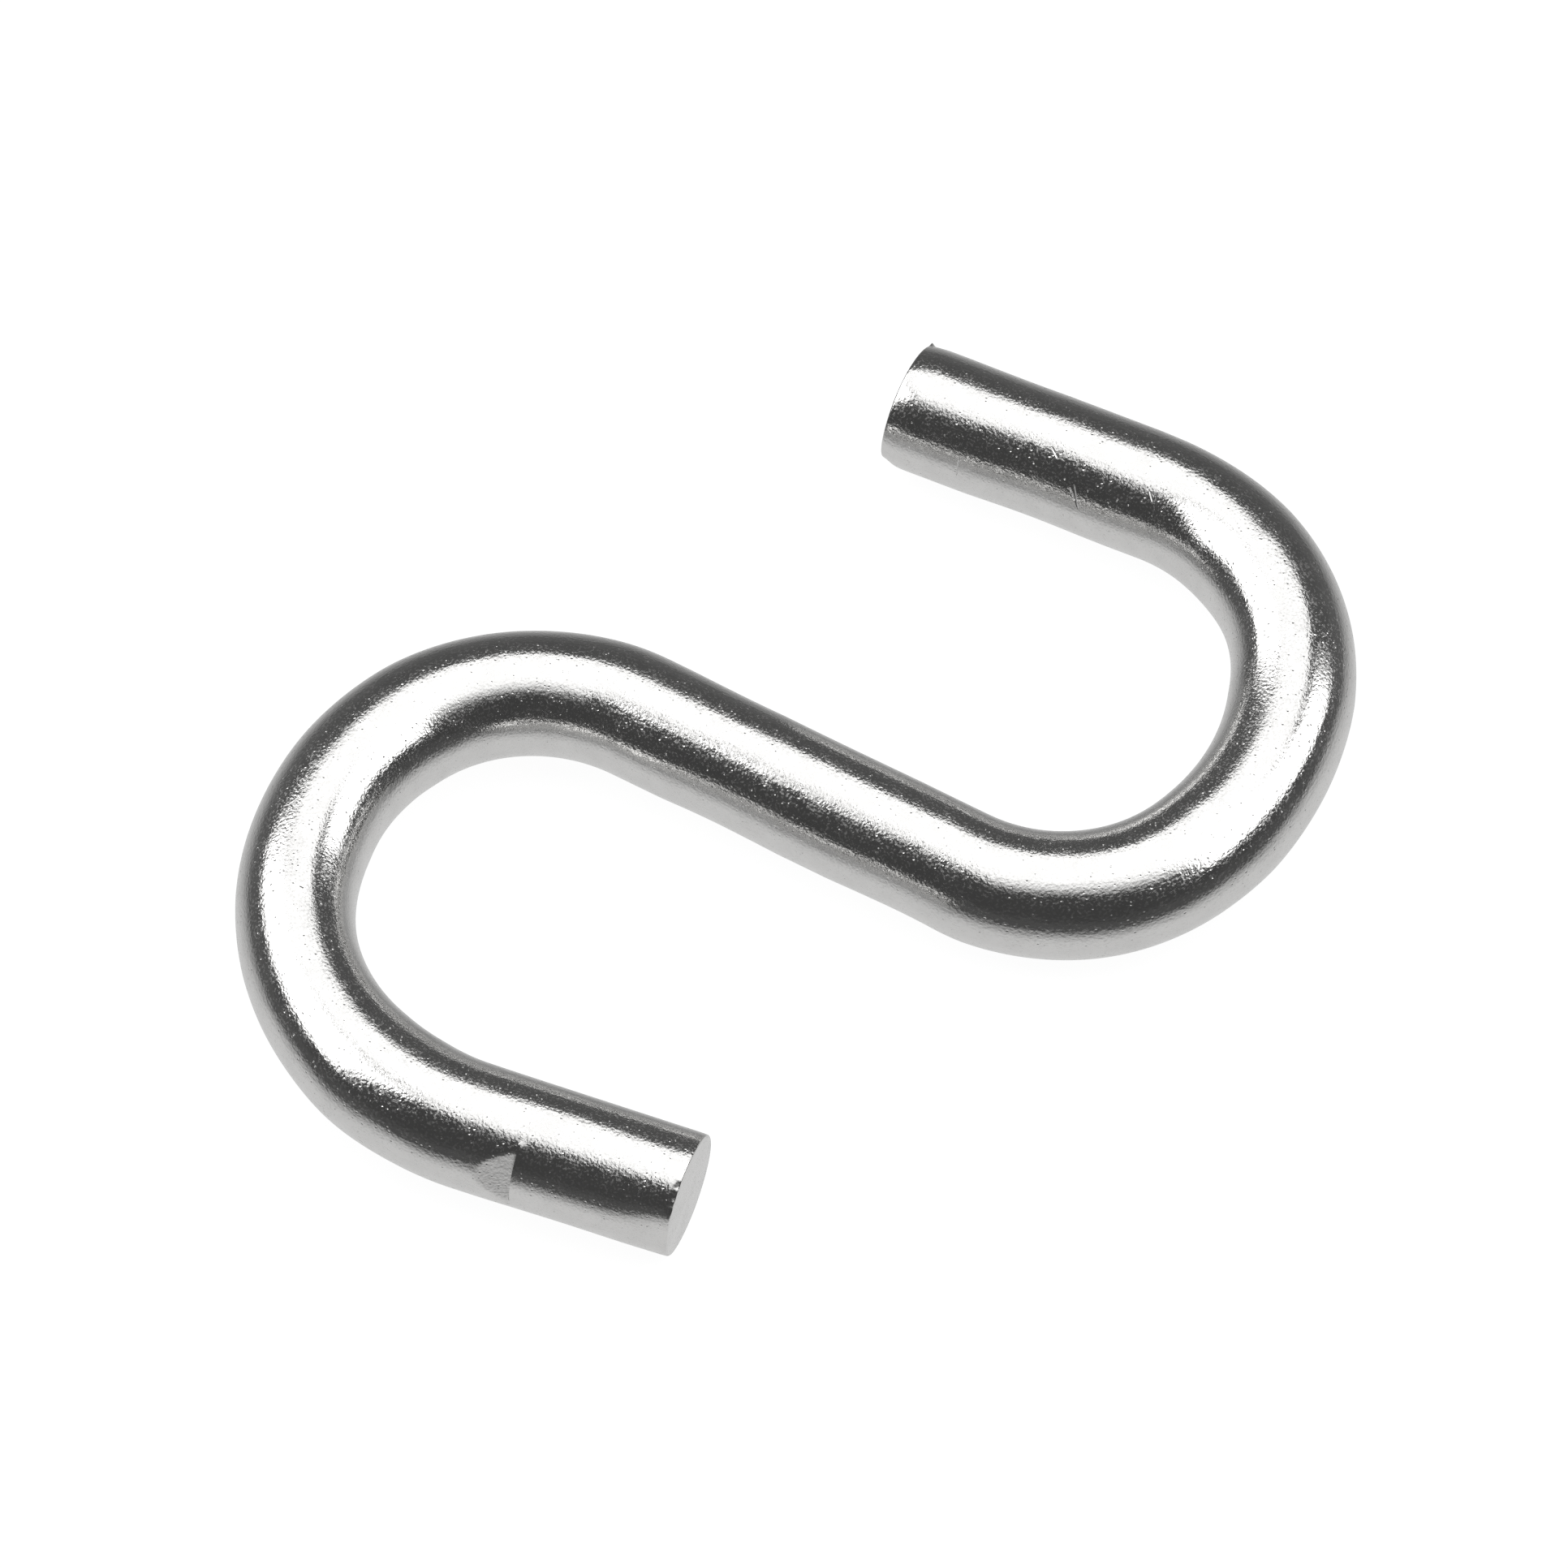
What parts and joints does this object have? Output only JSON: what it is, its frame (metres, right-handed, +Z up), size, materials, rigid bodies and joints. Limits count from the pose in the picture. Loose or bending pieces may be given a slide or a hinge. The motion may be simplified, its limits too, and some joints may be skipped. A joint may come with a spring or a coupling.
{
  "type": "open s-hook",
  "caption": "Open S-hook bent from one round steel rod, with a straight middle, two wide throats and blunt square-cut tails, bright plated.",
  "frame": {"origin": "middle of the hook's bounding box at its base, on the surface that the hook lies on", "axes": "+Z up, square to the plane of the S; X along the straight shank, with the upper bend at +X; the upper tail is on the +Y side of the shank and the lower tail on the -Y side"},
  "size_m": [0.0428, 0.0522, 0.006],
  "materials": {
    "plated_steel": "bright polished plating over drawn steel rod"
  },
  "bodies": {
    "root": {"hook_rod": "plated_steel"}
  },
  "joints": []
}
